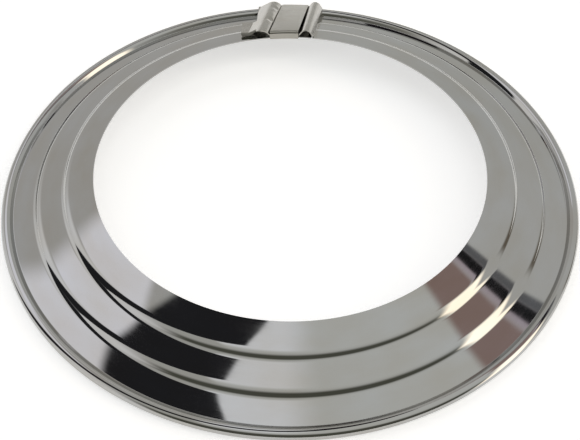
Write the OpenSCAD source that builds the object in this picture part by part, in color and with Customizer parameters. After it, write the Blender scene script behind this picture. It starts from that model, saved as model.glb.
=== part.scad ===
// Pipe rosette: a stepped cover ring of thin sheet that closes the gap round a flue pipe where it
// enters a wall or ceiling. One strip is rolled into a cone with two pressed steps and a curled
// outer bead. Its right end rises over its left end, with two pressed ribs, and a folded band
// between the ribs holds the two layers together.
// The ring's axis is Z, the bead stands on z = 0 and the lap is at the back, on +Y.

/* [Pipe] */
// Outside diameter of the pipe that the rosette goes round
pipe_d = 120; // [80:1:200]
// Gap between the pipe and the edge of the hole, all round
pipe_gap = 0.5; // [0.3:0.1:2]

/* [Cover ring] */
// Width of the ring seen from above, from the hole to the outside of the bead
ring_w = 29.5; // [28:0.5:36]
// Thickness of the sheet that the ring is made of
sheet_t = 0.4; // [0.3:0.05:0.6]
// Distance between the hole's edge and the first step, and between the two steps
band_w = 9.1; // [8:0.1:10]
// Fall of the three bands, in degrees
band_slope = 16; // [10:0.5:22]
// Fall of the two steps, in degrees
step_slope = 47; // [35:1:60]
// Height of each step
step_h = 1.45; // [0.8:0.05:2]
// Radius on the raised side of each step
step_top_r = 2.5; // [0.8:0.1:3]
// Radius at the foot of each step
step_foot_r = 2.5; // [0.8:0.1:3]

/* [Bead] */
// Diameter of the curled bead round the outside
bead_d = 3.4; // [3:0.1:4.5]
// Flat length of the crease between the last band and the bead
crease_w = 0.15; // [0.1:0.05:0.5]
// Height of the crease over the surface that the ring stands on
crease_z = 1.7; // [1.2:0.1:2]
// Radius in the crease
crease_r = 0.4; // [0.25:0.05:0.6]
// How far round the curl runs under the bead, in degrees
curl_end = 155; // [100:5:165]

/* [Lap] */
// Angle between the ribs and the ring's radius, seen from above the lap
lap_skew = 7.6; // [0:0.2:12]
// Height of the upper layer over the lower one at the hole's edge
lap_rise = 0.35; // [0.25:0.05:1.2]
// Clearance between the upper layer and the lower one's bead
lap_gap = 0.08; // [0.05:0.01:0.3]
// Distance from the hole's edge to the inner end of the upper layer
lap_inset = 0.6; // [0.55:0.05:1.5]
// Distance from the outside of the bead to the outer end of the upper layer
lap_outset = 0.4; // [0.2:0.1:1]
// Distance from the middle of the lap to the end of the lower layer
under_end = 9.2; // [8.6:0.1:9.3]
// Gap between the end of the lower layer and the strip beyond the lap
under_gap = 0.3; // [0.2:0.1:0.8]

/* [Ribs] */
// Height of the ribs' crests over the top of the upper layer
rib_h = 2; // [1.2:0.05:2.4]
// Distance of the left rib's crest from the middle of the lap
rib_left_at = 8.6; // [8.4:0.1:9.5]
// Length of the left rib's long flank
rib_left_run = 4.6; // [3.8:0.1:5.2]
// Radius of the left rib's crest
rib_left_r = 2.8; // [2:0.1:3.2]
// Distance of the right rib's crest from the middle of the lap
rib_right_at = 7.2; // [7:0.1:8]
// Radius of the right rib's crest
rib_right_r = 1.4; // [1:0.1:1.6]
// Length of the left rib's short flank, down to the band
rib_left_fall = 3.15; // [2.9:0.05:3.2]
// Length of the right rib's flank beside the band
rib_right_run = 2.5; // [2.2:0.1:2.6]
// Length of the right rib's outer flank, level with the upper layer
rib_right_fall = 2.5; // [2.3:0.1:3.3]
// Fall of that flank where it runs down into the strip, in degrees
rib_foot_slope = 75; // [60:1:80]
// Radius at the foot of each rib
rib_foot_r = 0.6; // [0.4:0.1:1]

/* [Tab] */
// Distance of the end of the upper layer from the middle of the lap
tab_reach = 17.8; // [16:0.1:20]
// Distance from the middle of the lap to where the tab steps back beside the left rib
tab_step = 12.4; // [12:0.1:14]
// Distance from the hole's edge to the tab's bent margin
tab_inset = 1.9; // [1.6:0.1:3]
// Length of the tab, measured away from the hole
tab_l = 9.8; // [7:0.1:12]
// Length of the bent margin along the tab
margin_l = 3.2; // [2:0.1:4]
// Length over which the margin tapers off into the left rib
margin_taper = 2.4; // [1:0.1:3]
// Clearance between the bent margin and the lower layer
margin_gap = 0.2; // [0.1:0.05:0.5]

/* [Band] */
// Width of the folded band
band_clip_w = 9.9; // [8:0.1:10]
// Distance of the band's middle from the middle of the lap, towards the left rib
band_clip_at = 0.4; // [0:0.1:0.8]
// Thickness of the band's sheet
clip_t = 0.4; // [0.3:0.05:0.5]
// Height of the band's underside over the lower layer at the hole's edge
clip_rise = 2.1; // [1.8:0.05:3]
// Clearance between the band and what it goes round
clip_gap = 0.14; // [0.1:0.02:0.4]
// Clearance of the notch that seats the band in the hole's edge, on each side
notch_gap = 0.15; // [0.1:0.05:0.6]
// Length of the flap that is folded under the ring
flap_l = 6.5; // [4:0.1:7]
// Height of the band's outer edge over the surface that the ring stands on
skirt_z = 0.6; // [0.3:0.1:1]
// Radius of the band's bends
clip_bend_r = 0.7; // [0.5:0.1:1]

/* [Hidden] */
$fn = 180;
arc_step = 7.5;
cut = 1;
hole_r = pipe_d/2 + pipe_gap;
rim_r = hole_r + ring_w;
mid_r = (hole_r + rim_r)/2;
bead_r = bead_d/2;
bead_at = [rim_r - bead_r, bead_r];
curl_r = bead_r - sheet_t/2;
fall = tan(band_slope);
step_run = step_h/tan(step_slope);
crease_at = [bead_at[0] - bead_r - crease_w, crease_z];
step_2_foot = [
    hole_r + 2*band_w + step_run/2,
    crease_z + (crease_at[0] - hole_r - 2*band_w - step_run/2)*fall
];
step_2_top = step_2_foot + [-step_run, step_h];
step_1_foot = step_2_top + [-band_w + step_run, (band_w - step_run)*fall];
step_1_top = step_1_foot + [-step_run, step_h];
edge_in = step_1_top + [-band_w + step_run/2 - cut, (band_w - step_run/2 + cut)*fall];
skin = sheet_t/2/cos(band_slope);
edge_top = edge_in[1] - cut*fall + skin;
edge_under = edge_top - 2*skin;
tab_front = hole_r + tab_inset;
lap_in_r = hole_r + lap_inset;
lap_out_r = rim_r - lap_outset;
lap_line = [hole_r, edge_top + lap_rise];
lap_tilt = tangent_fall(lap_line, bead_at, bead_r + lap_gap);
clip_line = [hole_r, edge_top + clip_rise];
clip_tilt = tangent_fall(clip_line, bead_at, bead_r + lap_gap + sheet_t + clip_gap);
clip_in_r = hole_r + clip_t/2;
clip_out_r = rim_r + clip_gap + clip_t/2;
sector = 44;
tall = 60;

function heading(a, b) = atan2(b[1] - a[1], b[0] - a[0]);
function left_of(h) = [-sin(h), cos(h)];

// Fall of the line that leaves point p and just passes over a circle
function tangent_fall(p, middle, r) = -heading(p, middle) - asin(r/norm(middle - p));

// Stations, as point and heading, along the arc that rounds corner b of the path a, b, c
function rounded(a, b, c, r) =
    let (
        h1 = heading(a, b),
        turn = (heading(b, c) - h1 + 540) % 360 - 180,
        side = sign(turn),
        start = b - r*tan(abs(turn)/2)*[cos(h1), sin(h1)],
        middle = start + side*r*left_of(h1),
        steps = max(1, ceil(abs(turn)/arc_step))
    )
    [for (i = [0:steps]) let (h = h1 + turn*i/steps) [middle - side*r*left_of(h), h]];

// Stations along a path of straight lines whose corners are rounded
function stations(p, r) =
    let (last = len(p) - 1)
    [
        [p[0], heading(p[0], p[1])],
        for (i = [1:last - 1]) each rounded(p[i - 1], p[i], p[i + 1], r[i - 1]),
        [p[last], heading(p[last - 1], p[last])]
    ];

// Outline of a sheet of thickness t whose middle follows the stations
function sheet_outline(s, t) = concat(
    [for (i = [0:len(s) - 1]) s[i][0] + t/2*left_of(s[i][1])],
    [for (i = [len(s) - 1:-1:0]) s[i][0] - t/2*left_of(s[i][1])]
);

// Height of a falling line at distance r from the axis
function line_z(start, tilt, r) = start[1] - (r - start[0])*tan(tilt);

// The strip's middle, from the hole's edge over the two steps and round the bead
function strip_stations() =
    let (
        rise = heading(crease_at, bead_at) + asin(curl_r/norm(bead_at - crease_at)),
        first = rise + 90,
        touch = bead_at + curl_r*[cos(first), sin(first)],
        sweep = first + curl_end,
        steps = ceil(sweep/arc_step)
    )
    concat(
        stations(
            [edge_in, step_1_top, step_1_foot, step_2_top, step_2_foot, crease_at, touch],
            [step_top_r, step_foot_r, step_top_r, step_foot_r, crease_r]
        ),
        [for (i = [1:steps])
            let (a = first - sweep*i/steps)
            [bead_at + curl_r*[cos(a), sin(a)], a - 90]]
    );

// Places its children in the upper layer's own frame: X across the ribs, Y along them away from the
// hole, and Z square to the sheet, measured from its underside
module in_lap() {
    translate([0, mid_r, line_z(lap_line, lap_tilt, mid_r)])
        rotate([-lap_tilt, 0, 0])
            rotate([0, 0, -lap_skew])
                children();
}

// Revolves an outline through the part of the ring where the lap is
module round_lap() {
    rotate([0, 0, 90 - sector/2])
        rotate_extrude(angle = sector)
            children();
}

// Everything between two radii
module between(r_in, r_out) {
    difference() {
        cylinder(h = tall, r = r_out, center = true);
        cylinder(h = tall + cut, r = r_in, center = true);
    }
}

// The profiled strip, closed all round
module strip() {
    difference() {
        rotate_extrude()
            polygon(sheet_outline(strip_stations(), sheet_t));
        cylinder(h = tall, r = hole_r, center = true);
    }
}

// Everything over the middle of the strip's sheet
module over_strip() {
    s = strip_stations();
    over = [for (i = [0:len(s) - 1]) if (s[i][1] > -90 - arc_step) s[i][0]];
    round_lap()
        polygon(concat(over, [[over[len(over) - 1][0], tall], [over[0][0], tall]]));
}

// Corner between the two lines that rise from feet a and b and touch the rounding of a rib's crest
function peak(a, b, at, r) =
    let (
        middle = [at, rib_h + sheet_t/2 - r],
        up = tan(heading(a, middle) + asin(r/norm(middle - a))),
        down = tan(heading(b, middle) - asin(r/norm(middle - b))),
        x = (b[1] - a[1] + a[0]*up - b[0]*down)/(up - down)
    )
    [x, a[1] + (x - a[0])*up];

// Stations across the two ribs and the flat sheet between and beside them
function rib_stations() =
    let (
        mid = sheet_t/2,
        left_1 = [-rib_left_at - rib_left_run, mid],
        left_2 = [-rib_left_at + rib_left_fall, mid],
        right_1 = [rib_right_at - rib_right_run, mid],
        right_2 = [rib_right_at + rib_right_fall, -mid],
        drop = lap_rise + bead_d
    )
    stations(
        [
            [-tab_reach - ring_w/2, mid],
            left_1,
            peak(left_1, left_2, -rib_left_at, rib_left_r),
            left_2,
            right_1,
            peak(right_1, right_2, rib_right_at, rib_right_r),
            right_2,
            right_2 + [drop/tan(rib_foot_slope), -drop]
        ],
        [rib_foot_r, rib_left_r, rib_foot_r, rib_foot_r, rib_right_r, rib_foot_r]
    );

// Draws a section of the upper layer along the ribs
module along_lap() {
    in_lap()
        rotate([90, 0, 0])
            linear_extrude(height = 2*ring_w, center = true)
                children();
}

// Outline of the upper layer seen from above, before its curved ends are cut
module lap_plan() {
    side = rim_r*sin(sector/2);
    joint = margin_l + margin_taper;
    polygon([
        [side, 0],
        [side, rim_r],
        [-tab_step, rim_r],
        [-tab_step, tab_front + tab_l],
        [-tab_reach, tab_front + tab_l],
        [-tab_reach, tab_front],
        [-tab_reach + joint, tab_front],
        [-tab_reach + joint, 0]
    ]);
}

// The upper layer of the lap, with its two ribs
module lap_layer() {
    intersection() {
        along_lap()
            polygon(sheet_outline(rib_stations(), sheet_t));
        between(lap_in_r, lap_out_r);
        linear_extrude(height = tall)
            lap_plan();
        over_strip();
    }
}

// The tab's inner margin, bent down to the lower layer and tapering off into the left rib
module tab_margin() {
    s = rib_stations();
    top = [for (i = [0:len(s) - 1]) if (s[i][0][0] < 0) s[i][0]];
    last = top[len(top) - 1];
    near_r = norm([tab_reach - margin_l, tab_front]);
    foot = edge_top - (near_r - hole_r)*fall + margin_gap;
    lift = lap_rise + bead_r;
    intersection() {
        along_lap()
            polygon(concat(top, [[last[0], -tall/2], [top[0][0], -tall/2]]));
        translate([-tab_reach, tab_front + sheet_t, 0])
            rotate([90, 0, 0])
                linear_extrude(height = sheet_t)
                    polygon([
                        [0, foot],
                        [margin_l, foot],
                        [margin_l + margin_taper, foot + lift],
                        [margin_l + margin_taper, tall/2],
                        [0, tall/2]
                    ]);
    }
}

module ring() {
    color("gainsboro")
    difference() {
        union() {
            difference() {
                strip();
                in_lap()
                    translate([under_end, -ring_w, -tall/2])
                        cube([under_gap, 2*ring_w, tall]);
            }
            lap_layer();
            tab_margin();
        }
        intersection() {
            in_lap()
                translate([-band_clip_at, 0, 0])
                    cube([band_clip_w + 2*notch_gap, 2*ring_w, tall], center = true);
            cylinder(h = tall, r = hole_r + clip_t + clip_gap/2);
        }
    }
}

// Section through the band: flap under the ring, lip at the hole, flat top and outer skirt
function band_stations() =
    let (
        under = edge_under - clip_gap/2 - clip_t/2/cos(band_slope),
        over = clip_t/2/cos(clip_tilt)
    )
    stations(
        [
            [clip_in_r + flap_l, under - (clip_in_r + flap_l - hole_r)*fall],
            [clip_in_r, under - (clip_in_r - hole_r)*fall],
            [clip_in_r, line_z(clip_line, clip_tilt, clip_in_r) + over],
            [clip_out_r, line_z(clip_line, clip_tilt, clip_out_r) + over],
            [clip_out_r, skirt_z]
        ],
        [clip_bend_r/2, clip_bend_r, clip_bend_r]
    );

module band() {
    color("silver")
    intersection() {
        round_lap()
            polygon(sheet_outline(band_stations(), clip_t));
        in_lap()
            translate([-band_clip_at, 0, 0])
                cube([band_clip_w, 2*ring_w, tall], center = true);
    }
}

ring();
band();
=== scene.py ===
# %% [markdown]
# # Pipe rosette
# A rosette is the cover ring that closes the gap round a flue pipe where it enters a wall.
# This one is rolled from thin bright sheet steel: three sloping bands, two pressed steps and a
# curled outer bead. Its right end rises over its left end, with two pressed ribs, and a folded
# band between the ribs holds the two layers together.
#
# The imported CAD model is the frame: it gives the size, the place and what moves. The looks are
# built round it, in metres, with the ring's axis on Z and the lap at the back, on +Y.

import math

import bmesh
import bpy
from mathutils import Matrix, Quaternion, Vector


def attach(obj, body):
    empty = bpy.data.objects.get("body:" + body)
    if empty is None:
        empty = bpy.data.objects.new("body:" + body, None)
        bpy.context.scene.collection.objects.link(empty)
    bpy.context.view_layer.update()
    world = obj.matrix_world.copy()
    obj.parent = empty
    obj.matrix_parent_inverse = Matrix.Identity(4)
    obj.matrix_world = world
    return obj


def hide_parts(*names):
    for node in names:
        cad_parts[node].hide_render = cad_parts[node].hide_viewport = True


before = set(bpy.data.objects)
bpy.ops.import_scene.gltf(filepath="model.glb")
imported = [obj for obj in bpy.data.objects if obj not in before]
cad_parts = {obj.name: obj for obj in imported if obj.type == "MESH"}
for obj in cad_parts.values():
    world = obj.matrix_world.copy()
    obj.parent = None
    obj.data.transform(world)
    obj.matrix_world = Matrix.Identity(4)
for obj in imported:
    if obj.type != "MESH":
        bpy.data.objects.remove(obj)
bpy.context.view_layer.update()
MM = 0.001

# %% [markdown]
# ## Sizes
# Every size is a real one in millimetres, the same as in the part's source. The ring fits a
# 120 mm pipe, and the rest follows from the sheet, the steps and the bead.

# %% Sizes
HOLE_R = 60.5
RIM_R = 90.0
SHEET_T = 0.4
MID_R = (HOLE_R + RIM_R) / 2
FALL = math.tan(math.radians(16))
BAND_W = 9.1
STEP_H = 1.45
STEP_RUN = STEP_H / math.tan(math.radians(47))
STEP_TOP_R = 4.2
STEP_FOOT_R = 2.9
BEAD_R = 1.7
CREASE_R = 0.4
CURL_R = BEAD_R - SHEET_T / 2
CURL_END = 155
BEAD_AT = Vector((RIM_R - BEAD_R, BEAD_R))
CREASE_AT = Vector((BEAD_AT.x - BEAD_R - 0.15, 1.7))


def on_band(foot, run):
    """The point a run further in from foot, up the slope of a band."""
    return foot + Vector((-run, run * FALL))


def step_up(foot):
    """The top corner of the step that rises from foot."""
    return foot + Vector((-STEP_RUN, STEP_H))


step_2_foot = on_band(CREASE_AT, CREASE_AT.x - HOLE_R - 2 * BAND_W - STEP_RUN / 2)
step_2_top = step_up(step_2_foot)
step_1_foot = on_band(step_2_top, BAND_W - STEP_RUN)
step_1_top = step_up(step_1_foot)
edge_mid = on_band(step_1_top, step_1_top.x - HOLE_R)
SKIN = SHEET_T / 2 / math.cos(math.radians(16))
EDGE_TOP = edge_mid.y + SKIN
print(f"Height of the hole's edge: {EDGE_TOP:.2f} mm")

# %% [markdown]
# ## Lines with rounded corners
# Sheet bends round a radius, never at a sharp corner. A path here is a list of corners in a
# section. Each corner is swapped for an arc that touches both its lines, and each point of the
# path keeps its heading, so that the sheet's two faces lie half a thickness to either side.

# %% Rounded paths


def heading(a, b):
    return math.atan2(b.y - a.y, b.x - a.x)


def ahead(h):
    return Vector((math.cos(h), math.sin(h)))


def left_of(h):
    return Vector((-math.sin(h), math.cos(h)))


def rounded(a, b, c, r, turn_step):
    """Points with headings along the arc that rounds corner b."""
    h1 = heading(a, b)
    turn = (heading(b, c) - h1 + math.pi) % math.tau - math.pi
    side = math.copysign(1, turn)
    start = b - r * math.tan(abs(turn) / 2) * ahead(h1)
    middle = start + side * r * left_of(h1)
    steps = max(1, math.ceil(abs(turn) / math.radians(turn_step)))
    turns = [h1 + turn * i / steps for i in range(steps + 1)]
    return [(middle - side * r * left_of(h), h) for h in turns]


def path(corners, radii, turn_step):
    """Points with headings along a path whose corners are rounded."""
    points = [(corners[0], heading(corners[0], corners[1]))]
    for a, b, c, r in zip(corners, corners[1:], corners[2:], radii):
        points += rounded(a, b, c, r, turn_step)
    return points + [(corners[-1], heading(corners[-2], corners[-1]))]


# %% [markdown]
# ## The rolled strip
# The real strip is rolled through shaped wheels, which press the steps and curl the bead. In
# Blender the same form is a spin: the section of the sheet is drawn once as a closed outline and
# turned round Z. A lathe modifier or a curve with a bevel would do it as well, but the spin
# operator gives one clean mesh whose rings follow the rolling direction, which keeps a mirror
# finish free of kinks. The outer face has finer points than the hidden inner one.

# %% Section of the strip
OUTER_STEP = 4
INNER_STEP = 14


def strip_path(turn_step):
    """The middle of the sheet, from the hole over the two steps and round the bead."""
    reach = (BEAD_AT - CREASE_AT).length
    first = heading(CREASE_AT, BEAD_AT) + math.asin(CURL_R / reach) + math.pi / 2
    touch = BEAD_AT + CURL_R * ahead(first)
    corners = [edge_mid, step_1_top, step_1_foot, step_2_top, step_2_foot, CREASE_AT, touch]
    radii = [STEP_TOP_R, STEP_FOOT_R, STEP_TOP_R, STEP_FOOT_R, CREASE_R]
    points = path(corners, radii, turn_step)
    sweep = first + math.radians(CURL_END)
    steps = math.ceil(math.degrees(sweep) / turn_step)
    for i in range(1, steps + 1):
        a = first - sweep * i / steps
        points.append((BEAD_AT + CURL_R * ahead(a), a - math.pi / 2))
    return points


def faces_of(points_over, points_under, t):
    """A closed outline: the sheet's upper face, then its lower face backwards."""
    over = [p + t / 2 * left_of(h) for p, h in points_over]
    under = [p - t / 2 * left_of(h) for p, h in reversed(points_under)]
    return over + under


strip_outline = faces_of(strip_path(OUTER_STEP), strip_path(INNER_STEP), SHEET_T)
for p in strip_outline:
    p.x = max(p.x, HOLE_R)
print("Points in the strip's outline:", len(strip_outline))

# %% Spin the strip
AXIS = Vector((0, 0, 1))
SPIN_STEPS = 480


def spin_outline(outline, start, angle, steps):
    """A bmesh of a closed outline turned round Z, from the start angle on."""
    bm = bmesh.new()
    turn = Matrix.Rotation(start, 3, "Z")
    verts = [bm.verts.new(turn @ Vector((p.x, 0, p.y)) * MM) for p in outline]
    edges = [bm.edges.new(pair) for pair in zip(verts, verts[1:] + verts[:1])]
    whole = math.isclose(angle, math.tau)
    bmesh.ops.spin(
        bm, geom=verts + edges, cent=(0, 0, 0), axis=AXIS, angle=angle, steps=steps, use_merge=whole
    )
    if not whole:
        bmesh.ops.holes_fill(bm, edges=[e for e in bm.edges if e.is_boundary], sides=0)
    bmesh.ops.recalc_face_normals(bm, faces=bm.faces)
    return bm


strip = spin_outline(strip_outline, 0, math.tau, SPIN_STEPS)
print("Strip:", len(strip.faces), "faces")

# %% [markdown]
# ## The lap's own frame
# The two ribs and the band stand a little skewed to the radius, on a straight slope that runs
# from the hole's edge to the top of the bead. They are built in a frame of their own: X across
# the ribs, Y along them away from the hole, Z square to the sheet, from its underside.

# %% The lap's frame
LAP_SKEW = math.radians(7.6)
LAP_RISE = 0.35
LAP_GAP = 0.08
CLIP_GAP = 0.14
CLIP_T = 0.4


def tangent_fall(start, r):
    """Fall of the line that leaves start and just passes over the bead, r from its middle."""
    return -heading(start, BEAD_AT) - math.asin(r / (BEAD_AT - start).length)


lap_line = Vector((HOLE_R, EDGE_TOP + LAP_RISE))
lap_tilt = tangent_fall(lap_line, BEAD_R + LAP_GAP)
lap_z = lap_line.y - (MID_R - HOLE_R) * math.tan(lap_tilt)
lap_place = (
    Matrix.Translation((0, MID_R, lap_z))
    @ Matrix.Rotation(-lap_tilt, 4, "X")
    @ Matrix.Rotation(-LAP_SKEW, 4, "Z")
)
print(f"The lap falls by {math.degrees(lap_tilt):.1f} degrees")


def reach_along(x, z, radius):
    """How far along the rib's line at x and z its distance from the ring's axis is radius."""
    a = lap_place @ Vector((x, 0, z))
    d = lap_place.to_3x3() @ Vector((0, 1, 0))
    a2, d2 = a.xy, d.xy
    half = a2.dot(d2)
    return (math.sqrt(half**2 - d2.length_squared * (a2.length_squared - radius**2)) - half) / (
        d2.length_squared
    )


# %% [markdown]
# ## The ribs' section
# A press lifts the sheet over two rounded ribs. The left one is broad with a long outer flank,
# the right one narrow with a flank that runs down into the strip. Between them the sheet is
# flat, and the band lies there.

# %% Section of the ribs
RIB_H = 2.0
LEFT_AT, LEFT_RUN, LEFT_FALL, LEFT_R = -8.6, 4.6, 3.15, 3.3
RIGHT_AT, RIGHT_RUN, RIGHT_FALL, RIGHT_R = 7.2, 2.5, 2.5, 1.9
FOOT_R = 0.6
FOOT_SLOPE = math.radians(75)
TAB_REACH = 17.8


def peak(a, b, at, r):
    """Corner of the two lines that rise from feet a and b and touch the crest's rounding."""
    middle = Vector((at, RIB_H + SHEET_T / 2 - r))
    up = math.tan(heading(a, middle) + math.asin(r / (middle - a).length))
    down = math.tan(heading(b, middle) - math.asin(r / (middle - b).length))
    x = (b.y - a.y + a.x * up - b.x * down) / (up - down)
    return Vector((x, a.y + (x - a.x) * up))


MID = SHEET_T / 2
DROP = LAP_RISE + 2 * BEAD_R
left_1, left_2 = Vector((LEFT_AT - LEFT_RUN, MID)), Vector((LEFT_AT + LEFT_FALL, MID))
right_1, right_2 = Vector((RIGHT_AT - RIGHT_RUN, MID)), Vector((RIGHT_AT + RIGHT_FALL, -MID))
rib_corners = [
    Vector((-TAB_REACH - 8, MID)),
    left_1,
    peak(left_1, left_2, LEFT_AT, LEFT_R),
    left_2,
    right_1,
    peak(right_1, right_2, RIGHT_AT, RIGHT_R),
    right_2,
    right_2 + Vector((DROP / math.tan(FOOT_SLOPE), -DROP)),
]
rib_path = path(rib_corners, [FOOT_R, LEFT_R, FOOT_R, FOOT_R, RIGHT_R, FOOT_R], OUTER_STEP)
print("Points across the ribs:", len(rib_path))

# %% [markdown]
# ## The upper layer of the lap
# A flat grid is the blank. Its columns are spread over the section's points and its rows between
# the hole and the bead, and each point is then set on the pressed form. A boolean of solid ribs
# would give the same outline, but a grid with many rows can also take the dents that the
# pressing left. The tab's outline is cut with planes, as with shears.

# %% Upper layer
LAP_IN_R = HOLE_R + 0.6
LAP_OUT_R = RIM_R - 0.4
ROWS = 72
FINEST = 0.3


def divided(points, longest):
    """The path's points, with more of them on its long straight parts."""
    found = [points[0][0]]
    for (p, _), (q, _) in zip(points, points[1:]):
        parts = max(1, math.ceil((q - p).length / longest))
        found += [p.lerp(q, i / parts) for i in range(1, parts + 1)]
    return found


section = divided(rib_path, FINEST)
lap = bmesh.new()
bmesh.ops.create_grid(lap, x_segments=len(section) - 1, y_segments=ROWS, size=1)
for v in lap.verts:
    x, z = section[round((v.co.x + 1) / 2 * (len(section) - 1))]
    near, far = reach_along(x, z, LAP_IN_R), reach_along(x, z, LAP_OUT_R)
    v.co = lap_place @ Vector((x, near + (far - near) * (v.co.y + 1) / 2, z))
print("Upper layer:", len(lap.faces), "faces")

# %% Cut the tab
TAB_STEP = 12.4
TAB_FRONT = HOLE_R + 1.9
TAB_L = 9.8
MARGIN_L = 3.2
MARGIN_TAPER = 2.4
joint_x = -TAB_REACH + MARGIN_L + MARGIN_TAPER


def cut(bm, point, normal, drop=False):
    """Cuts the mesh along a plane, and drops what is beyond it."""
    bmesh.ops.bisect_plane(
        bm,
        geom=bm.verts[:] + bm.edges[:] + bm.faces[:],
        plane_co=point,
        plane_no=normal,
        clear_outer=drop,
    )


def snip(bm, beyond):
    """Takes away the faces whose middle is in a part that was cut free."""
    found = [f for f in bm.faces if beyond(f.calc_center_median())]
    bmesh.ops.delete(bm, geom=found, context="FACES")


cut(lap, (-TAB_REACH, 0, 0), (-1, 0, 0), drop=True)
for x in (-TAB_STEP, joint_x, -TAB_REACH + MARGIN_L):
    cut(lap, (x, 0, 0), (1, 0, 0))
for y in (TAB_FRONT, TAB_FRONT + TAB_L):
    cut(lap, (0, y, 0), (0, 1, 0))
snip(lap, lambda m: m.x < -TAB_STEP and m.y > TAB_FRONT + TAB_L)
snip(lap, lambda m: m.x < joint_x and m.y < TAB_FRONT)

# %% Bend the tab's margin down
MARGIN_GAP = 0.2
near_r = math.hypot(TAB_REACH - MARGIN_L, TAB_FRONT)
margin_foot = EDGE_TOP - (near_r - HOLE_R) * FALL + MARGIN_GAP
margin_lift = (LAP_RISE + BEAD_R) / MARGIN_TAPER
along_margin = [
    e
    for e in lap.edges
    if e.is_boundary and all(abs(v.co.y - TAB_FRONT) < 1e-4 and v.co.x < joint_x + 1e-4 for v in e.verts)
]
margin = bmesh.ops.extrude_edge_only(lap, edges=along_margin)["geom"]
for v in (g for g in margin if isinstance(g, bmesh.types.BMVert)):
    foot = margin_foot + max(0, v.co.x + TAB_REACH - MARGIN_L) * margin_lift
    v.co.z = min(v.co.z, foot)
print("Edges along the margin:", len(along_margin))

# %% [markdown]
# ## Dents
# The left rib was dented when the band was closed: one deep dimple low on its right flank, and a
# crimped crease with two small pips near its outer end. They are real hollows, not bump, because
# a mirror shows them by what they reflect. Each is a smooth hump of a given width and depth,
# added along the sheet's normal.

# %% Dents
# Place of each dent across and along the ribs, its half widths, and its height, in mm.
DENTS = [
    ((-6.9, -5.0), (0.95, 1.2), -0.4),
    ((-6.95, -4.9), (0.4, 0.5), 0.16),
    ((-6.2, 3.6), (0.9, 1.6), -0.14),
    ((-6.7, 7.2), (1.1, 1.3), -0.2),
    ((-6.2, 9.0), (0.7, 0.9), 0.12),
]
to_lap = lap_place.inverted()
square_to_lap = lap_place.to_3x3() @ Vector((0, 0, 1))
for v in lap.verts:
    at = to_lap @ v.co
    for (x, y), (wide, long), height in DENTS:
        far = ((at.x - x) / wide) ** 2 + ((at.y - y) / long) ** 2
        v.co += square_to_lap * height * math.exp(-far)

# %% Thickness of the upper layer
strip_line = [(p.x, p.y) for p, _ in strip_path(OUTER_STEP) if p.x < BEAD_AT.x]


def strip_height(r):
    """Height of the middle of the strip's sheet at a distance from the axis."""
    for (r1, z1), (r2, z2) in zip(strip_line, strip_line[1:]):
        if r1 <= r <= r2:
            return z1 + (z2 - z1) * (r - r1) / (r2 - r1)
    return BEAD_AT.y + math.sqrt(max(0, CURL_R**2 - (r - BEAD_AT.x) ** 2))


for v in lap.verts:
    v.co.z = max(v.co.z, strip_height(v.co.xy.length))
    v.co *= MM
bmesh.ops.recalc_face_normals(lap, faces=lap.faces)
if sum((f.normal.z for f in lap.faces)) < 0:
    bmesh.ops.reverse_faces(lap, faces=lap.faces)
lap.normal_update()
half_t = SHEET_T / 2 * MM
for v in lap.verts:
    v.co += v.normal * half_t
bmesh.ops.solidify(lap, geom=lap.faces[:], thickness=SHEET_T * MM)
bmesh.ops.recalc_face_normals(lap, faces=lap.faces)
print("Upper layer with thickness:", len(lap.faces), "faces")

# %% [markdown]
# ## Where the strip ends and where the band goes through
# The lower layer ends just beyond the right rib, and the strip starts again a hair further on.
# Two planes cut the spun ring there and the sliver between them goes. Under the band the hole's
# edge is set back by the thickness of the band's lip.

# %% Slot and notch
UNDER_END = 9.2
UNDER_GAP = 0.3
BAND_CLIP_W = 9.9
BAND_CLIP_AT = 0.4
NOTCH_GAP = 0.15
across = lap_place.to_3x3() @ Vector((1, 0, 0))
in_mm = Matrix.Scale(MM, 4)
lap_place_m = in_mm @ lap_place
to_lap_m = to_lap @ Matrix.Scale(1 / MM, 4)


def near_lap(at):
    """Whether a point of the strip is in the lap's part of the ring."""
    return at.y > 0 and abs(at.x) < 20 * MM


for x in (UNDER_END, UNDER_END + UNDER_GAP):
    faces = [f for f in strip.faces if near_lap(f.calc_center_median())]
    around = list({g for f in faces for g in (*f.verts, *f.edges)})
    point = lap_place @ Vector((x, 0, 0)) * MM
    bmesh.ops.bisect_plane(strip, geom=faces + around, plane_co=point, plane_no=across)


def in_slot(at):
    x = (to_lap_m @ at).x
    return near_lap(at) and UNDER_END < x < UNDER_END + UNDER_GAP


snip(strip, in_slot)
bmesh.ops.holes_fill(strip, edges=[e for e in strip.edges if e.is_boundary], sides=0)
notch_half = BAND_CLIP_W / 2 + NOTCH_GAP
notch_r = (HOLE_R + CLIP_T + CLIP_GAP / 2) * MM
moved = 0
for v in strip.verts:
    flat = v.co.xy
    if near_lap(v.co) and flat.length < notch_r and abs((to_lap_m @ v.co).x + BAND_CLIP_AT) < notch_half:
        v.co.xy = flat.normalized() * notch_r
        v.co.z -= (notch_r - flat.length) * FALL
        moved += 1
bmesh.ops.recalc_face_normals(strip, faces=strip.faces)
print("Points set back for the band:", moved)

# %% One piece
SHARP = math.radians(38)


def piece(bm, name):
    """A smooth-shaded object at the origin from a bmesh, with its sharp edges marked."""
    mesh = bpy.data.meshes.new(name)
    bm.to_mesh(mesh)
    bm.free()
    mesh.polygons.foreach_set("use_smooth", [True] * len(mesh.polygons))
    mesh.set_sharp_from_angle(angle=SHARP)
    found = bpy.data.objects.new(name, mesh)
    bpy.context.scene.collection.objects.link(found)
    print(name, "has", sum(len(p.vertices) - 2 for p in mesh.polygons), "triangles")
    return found


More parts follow.
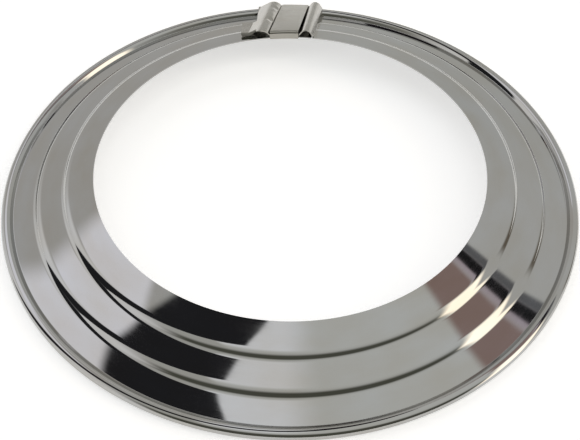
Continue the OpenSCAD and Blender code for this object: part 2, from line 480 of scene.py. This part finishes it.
for f in lap.faces:
    f.material_index = 1
lap_mesh = bpy.data.meshes.new("lap")
lap.to_mesh(lap_mesh)
lap.free()
strip.from_mesh(lap_mesh)
ring = piece(strip, "rosette_ring")
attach(ring, "root")
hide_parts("ring")

# %% [markdown]
# ## The folded band
# A short strip goes round both layers: a flap under the ring, a lip over the hole's edge, the
# flat top and a skirt outside the bead. Its section is drawn as a closed outline and spun through
# a few degrees, and two planes then cut its sides along the ribs.

# %% Band
CLIP_RISE = 2.1
CLIP_BEND_R = 0.7
FLAP_L = 6.5
SKIRT_Z = 0.6
clip_line = Vector((HOLE_R, EDGE_TOP + CLIP_RISE))
clip_tilt = tangent_fall(clip_line, BEAD_R + LAP_GAP + SHEET_T + CLIP_GAP)
clip_in_r = HOLE_R + CLIP_T / 2
clip_out_r = RIM_R + CLIP_GAP + CLIP_T / 2


def clip_over(r):
    """Middle of the band's flat top at a distance from the axis."""
    return clip_line.y - (r - HOLE_R) * math.tan(clip_tilt) + CLIP_T / 2 / math.cos(clip_tilt)


def clip_under(r):
    """Middle of the flap under the ring at a distance from the axis."""
    flap = EDGE_TOP - 2 * SKIN - CLIP_GAP / 2 - CLIP_T / 2 / math.cos(math.radians(16))
    return flap - (r - HOLE_R) * FALL


clip_corners = [
    Vector((clip_in_r + FLAP_L, clip_under(clip_in_r + FLAP_L))),
    Vector((clip_in_r, clip_under(clip_in_r))),
    Vector((clip_in_r, clip_over(clip_in_r))),
    Vector((clip_out_r, clip_over(clip_out_r))),
    Vector((clip_out_r, SKIRT_Z)),
]
clip_path = path(clip_corners, [CLIP_BEND_R / 2, CLIP_BEND_R, CLIP_BEND_R], OUTER_STEP)
clip_outline = faces_of(clip_path, clip_path, CLIP_T)
CLIP_SECTOR = math.radians(24)
clip = spin_outline(clip_outline, math.radians(90) - CLIP_SECTOR / 2, CLIP_SECTOR, 48)
for side in (-1, 1):
    point = lap_place @ Vector((side * BAND_CLIP_W / 2 - BAND_CLIP_AT, 0, 0)) * MM
    geom = clip.verts[:] + clip.edges[:] + clip.faces[:]
    bmesh.ops.bisect_plane(
        clip, geom=geom, plane_co=point, plane_no=across * side, clear_outer=True
    )
    bmesh.ops.holes_fill(clip, edges=[e for e in clip.edges if e.is_boundary], sides=0)
bmesh.ops.recalc_face_normals(clip, faces=clip.faces)
band = piece(clip, "folded_band")
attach(band, "root")
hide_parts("band")

# %% [markdown]
# ## Bright rolled sheet
# The ring is cold-rolled steel with a bright plated skin, nearly a mirror. The rolls leave faint
# lines along the strip, handling leaves dull smudges and stains, and the thin sheet is never
# quite flat, so that what it mirrors wavers a little. A metal gets its whole look from a base
# colour, a low roughness and a slight bump. Lines and stains follow the ring, so the pattern
# reads the object's own coordinates in polar form: a direction from the axis, and a radius.

# %% Node helpers


def linear(hex_colour):
    """An sRGB hex colour as linear numbers with alpha."""
    parts = [int(hex_colour[i : i + 2], 16) / 255 for i in (0, 2, 4)]
    return [c / 12.92 if c < 0.04045 else ((c + 0.055) / 1.055) ** 2.4 for c in parts] + [1]


def add(tree, kind, links=None, **settings):
    """Adds a node with its settings, and links or sets its inputs."""
    node = tree.nodes.new(kind)
    for key, value in settings.items():
        setattr(node, key, value)
    for key, value in (links or {}).items():
        if isinstance(value, bpy.types.NodeSocket):
            tree.links.new(value, node.inputs[key])
        else:
            node.inputs[key].default_value = value
    return node


def new_material(name):
    material = bpy.data.materials.new(name)
    material.use_nodes = True
    material.node_tree.nodes.clear()
    return material, material.node_tree


# %% Rolling direction
MID_RING = MID_R * MM


def rolled_coordinates(tree, along_mm, across_mm):
    """Coordinates in which one unit is so many mm along the strip and across it."""
    at = add(tree, "ShaderNodeTexCoord").outputs["Object"]
    flat = add(tree, "ShaderNodeVectorMath", {0: at, 1: (1, 1, 0)}, operation="MULTIPLY").outputs[0]
    radius = add(tree, "ShaderNodeVectorMath", {0: flat}, operation="LENGTH").outputs["Value"]
    way = add(tree, "ShaderNodeVectorMath", {0: flat}, operation="NORMALIZE").outputs[0]
    along = add(
        tree, "ShaderNodeVectorMath", {0: way, "Scale": MID_R / along_mm}, operation="SCALE"
    ).outputs[0]
    across = add(
        tree, "ShaderNodeMath", {0: radius, 1: 1 / (across_mm * MM)}, operation="MULTIPLY"
    ).outputs[0]
    lift = add(tree, "ShaderNodeCombineXYZ", {"Z": across}).outputs[0]
    return add(tree, "ShaderNodeVectorMath", {0: along, 1: lift}, operation="ADD").outputs[0]


def noise(tree, vector, detail=2.0, rough=0.5):
    links = {"Vector": vector, "Scale": 1.0, "Detail": detail, "Roughness": rough}
    return add(tree, "ShaderNodeTexNoise", links).outputs["Fac"]


def spread(tree, value, low, high):
    """Spreads a noise, which keeps to its middle, over a range of values."""
    links = {"Value": value, "From Min": 0.3, "From Max": 0.7, "To Min": low, "To Max": high}
    return add(tree, "ShaderNodeMapRange", links).outputs["Result"]


# %% Bright sheet
def sheet_steel(name, colour, stain, rough_low, rough_high, wave_mm):
    material, tree = new_material(name)
    blotches = noise(tree, rolled_coordinates(tree, 22, 9), detail=3)
    lines = noise(tree, rolled_coordinates(tree, 60, 0.5), detail=2)
    smudges = noise(tree, rolled_coordinates(tree, 9, 5), detail=4, rough=0.6)
    waves = noise(tree, rolled_coordinates(tree, 26, 11), detail=1)
    base = add(
        tree,
        "ShaderNodeMix",
        {"Factor": spread(tree, blotches, 0, 1), "A": linear(colour), "B": linear(stain)},
        data_type="RGBA",
    )
    rough = add(
        tree,
        "ShaderNodeMath",
        {0: spread(tree, lines, 0, 0.02), 1: spread(tree, smudges, rough_low, rough_high)},
        operation="ADD",
    ).outputs[0]
    height = add(tree, "ShaderNodeMath", {0: lines, 1: 0.02, 2: waves}, operation="MULTIPLY_ADD")
    bump = add(
        tree,
        "ShaderNodeBump",
        {"Height": height.outputs[0], "Distance": wave_mm * MM, "Strength": 1.0},
    ).outputs["Normal"]
    shader = add(tree, "ShaderNodeBsdfPrincipled", {"Metallic": 1.0, "Roughness": rough, "Normal": bump})
    tree.links.new(base.outputs[2], shader.inputs["Base Color"])
    add(tree, "ShaderNodeOutputMaterial", {"Surface": shader.outputs["BSDF"]})
    return material


bright_sheet = sheet_steel("bright rolled steel sheet", "B3B4B4", "ADABA6", 0.02, 0.05, 0.02)
rubbed_sheet = sheet_steel("pressed and rubbed steel sheet", "ABA9A4", "A3A099", 0.14, 0.22, 0.03)
dull_sheet = sheet_steel("dull rolled steel sheet", "A8A6A0", "A19E96", 0.18, 0.28, 0.03)
ring.data.materials.append(bright_sheet)
ring.data.materials.append(rubbed_sheet)
band.data.materials.append(dull_sheet)

# %% [markdown]
# ## What the ring mirrors
# A mirror has no colour of its own: it shows the room. Photographers stand such a thing in a
# tent of pale cloth and hang cards round it. Here a dome stands for the tent, hidden from the
# camera, and its colour depends on the direction alone. The ring's bands, all of one slope,
# mirror a loop of directions round one axis, so the cards are sectors round that axis: a pale
# window on the left, a dark one beside it, a light one overhead, a brown one and a small lamp on
# the right. A world shader could do the same, but cards on a dome leave the world to the
# background.

# %% Tent
TENT_R = 4.0
LOOP_TILT = math.radians(42)
LOOP_OFF = 43
ANY = (-999, 999, 1, 1)
# Each card's colour and strength, its span in turn with the softness of both edges, its span in
# off likewise, and how many degrees of turn it leans for each degree of off. Off is the angle
# from the loop's axis; turn is the angle round it, 0 in front of the ring and growing rightwards.
CARDS = [
    ("C9C8C4", 1.0, (-999, -60, 1, 70), ANY, 0),
    ("DADAD8", 1.0, (60, 118, 10, 60), ANY, 0),
    ("CFCDCA", 1.0, (-160, -40, 90, 8), ANY, 0),
    ("F5F4FA", 1.28, (-76, -43, 9, 4), (-999, 52, 1, 14), -0.9),
    ("F5F4F4", 1.15, (-108, -48, 40, 22), (50, 999, 16, 1), 0.0),
    ("E8E9E6", 0.98, (-20, 60, 3, 30), (-999, 76, 1, 30), 0),
    ("F4F5F8", 1.2, (-20, 3, 3, 12), (-999, 60, 1, 20), 0),
    ("5E5F56", 1.0, (-44, 60, 14, 14), (86, 999, 18, 1), 0),
    ("2A2A2D", 1.0, (-43, -10, 4, 1.5), (-999, 90, 1, 14), 1.5),
    ("A8918C", 1.0, (46, 60, 3, 3), (-999, 52, 1, 6), 0),
    ("CFC2CC", 1.0, (60, 66, 3, 1), (-999, 50, 1, 6), 0),
    ("252527", 1.0, (62, 66, 1, 1), (-999, 60, 1, 12), 0),
    ("75767A", 1.0, (66, 69, 1, 1.5), (-999, 52, 1, 8), 0),
    ("7C7468", 1.0, (66, 96, 8, 8), (68, 999, 14, 1), -0.8),
    ("FFF4E2", 2.6, (47, 66, 6, 5), (56, 999, 14, 1), -0.25),
]


def tent_material():
    material, tree = new_material("tent cloth and cards")
    at = add(tree, "ShaderNodeTexCoord").outputs["Object"]
    way = add(tree, "ShaderNodeVectorMath", {0: at}, operation="NORMALIZE").outputs[0]
    axes = [
        (1, 0, 0),
        (0, -math.cos(LOOP_TILT), math.sin(LOOP_TILT)),
        (0, math.sin(LOOP_TILT), math.cos(LOOP_TILT)),
    ]
    right, down, out = [
        add(tree, "ShaderNodeVectorMath", {0: way, 1: axis}, operation="DOT_PRODUCT").outputs["Value"]
        for axis in axes
    ]
    round_it = add(tree, "ShaderNodeMath", {0: right, 1: down}, operation="ARCTAN2").outputs[0]
    from_it = add(tree, "ShaderNodeMath", {0: out}, operation="ARCCOSINE").outputs[0]
    turn = add(tree, "ShaderNodeMath", {0: round_it}, operation="DEGREES").outputs[0]
    off = add(tree, "ShaderNodeMath", {0: from_it}, operation="DEGREES").outputs[0]
    past = add(tree, "ShaderNodeMath", {0: off, 1: LOOP_OFF}, operation="SUBTRACT").outputs[0]
    seen = linear("CFCFCB")
    for hex_colour, strength, span_turn, span_off, lean in CARDS:
        leaned = add(
            tree, "ShaderNodeMath", {0: past, 1: lean, 2: turn}, operation="MULTIPLY_ADD"
        ).outputs[0]
        mask = 1.0
        for value, (low, high, soft_low, soft_high) in ((leaned, span_turn), (off, span_off)):
            for edge, soft in ((low, soft_low), (high, -soft_high)):
                if abs(edge) == 999:
                    continue
                links = {"Value": value, "From Min": edge - soft / 2, "From Max": edge + soft / 2}
                shown = add(
                    tree, "ShaderNodeMapRange", links, interpolation_type="SMOOTHSTEP"
                ).outputs["Result"]
                mask = add(tree, "ShaderNodeMath", {0: mask, 1: shown}, operation="MULTIPLY").outputs[0]
        card = [c * strength for c in linear(hex_colour)[:3]] + [1]
        links = {"Factor": mask, "A": seen, "B": card}
        seen = add(tree, "ShaderNodeMix", links, data_type="RGBA").outputs[2]
    glow = add(tree, "ShaderNodeEmission", {"Color": seen, "Strength": 1.0})
    add(tree, "ShaderNodeOutputMaterial", {"Surface": glow.outputs[0]})
    return material


tent_bm = bmesh.new()
bmesh.ops.create_uvsphere(tent_bm, u_segments=96, v_segments=48, radius=TENT_R)
tent_mesh = bpy.data.meshes.new("tent")
tent_bm.to_mesh(tent_mesh)
tent_bm.free()
tent_mesh.materials.append(tent_material())
tent = bpy.data.objects.new("tent", tent_mesh)
bpy.context.scene.collection.objects.link(tent)
tent.visible_camera = False

# %% [markdown]
# ## Floor and background
# The floor is a plain pale sheet. It keeps the ring's soft shadow, and a share of its own light
# brings it to white for the camera and for what the metal mirrors. The world is plain white,
# seen only past the floor's edge.

# %% Floor
FLOOR_HALF = 3.0
FLOOR_GLOW = 0.5
material, tree = new_material("pale floor")
seen = add(tree, "ShaderNodeLightPath")
plain = add(
    tree,
    "ShaderNodeMath",
    {0: seen.outputs["Is Camera Ray"], 1: seen.outputs["Is Glossy Ray"]},
    operation="ADD",
).outputs[0]
plain = add(
    tree,
    "ShaderNodeMath",
    {0: plain, 1: seen.outputs["Is Transmission Ray"]},
    operation="ADD",
    use_clamp=True,
).outputs[0]
strength = add(tree, "ShaderNodeMath", {0: plain, 1: FLOOR_GLOW}, operation="MULTIPLY").outputs[0]
cloth = add(tree, "ShaderNodeBsdfDiffuse", {"Color": linear("F2F2F2")})
glow = add(tree, "ShaderNodeEmission", {"Color": (1, 1, 1, 1), "Strength": strength})
both = add(tree, "ShaderNodeAddShader", {0: cloth.outputs[0], 1: glow.outputs[0]})
add(tree, "ShaderNodeOutputMaterial", {"Surface": both.outputs[0]})
floor_bm = bmesh.new()
bmesh.ops.create_grid(floor_bm, x_segments=1, y_segments=1, size=FLOOR_HALF)
floor_mesh = bpy.data.meshes.new("floor")
floor_bm.to_mesh(floor_mesh)
floor_bm.free()
floor_mesh.materials.append(material)
floor = bpy.data.objects.new("floor", floor_mesh)
bpy.context.scene.collection.objects.link(floor)

# %% World
world = bpy.data.worlds.new("white background")
bpy.context.scene.world = world
world.use_nodes = True
world.node_tree.nodes["Background"].inputs["Color"].default_value = (1, 1, 1, 1)
bpy.context.scene.view_settings.view_transform = "Standard"

# %% [markdown]
# ## Camera
# The camera looks down at the ring from in front, at the angle and distance of the photograph,
# with the lens that gives the same frame.

# %% Camera
LENS = 55.3
CAMERA_AT = Vector((0, -194.45, 208.8)) * MM
camera_data = bpy.data.cameras.new("camera")
camera_data.lens = LENS
camera_data.sensor_width = 36
camera = bpy.data.objects.new("camera", camera_data)
bpy.context.scene.collection.objects.link(camera)
camera.location = CAMERA_AT
LOOK_DOWN = math.radians(49.35)
ROLL = math.radians(0.34)
look = Vector((0, math.cos(LOOK_DOWN), -math.sin(LOOK_DOWN)))
camera.rotation_mode = "QUATERNION"
camera.rotation_quaternion = look.to_track_quat("-Z", "Y") @ Quaternion((0, 0, 1), ROLL)
camera_data.clip_start = 0.005
bpy.context.scene.camera = camera
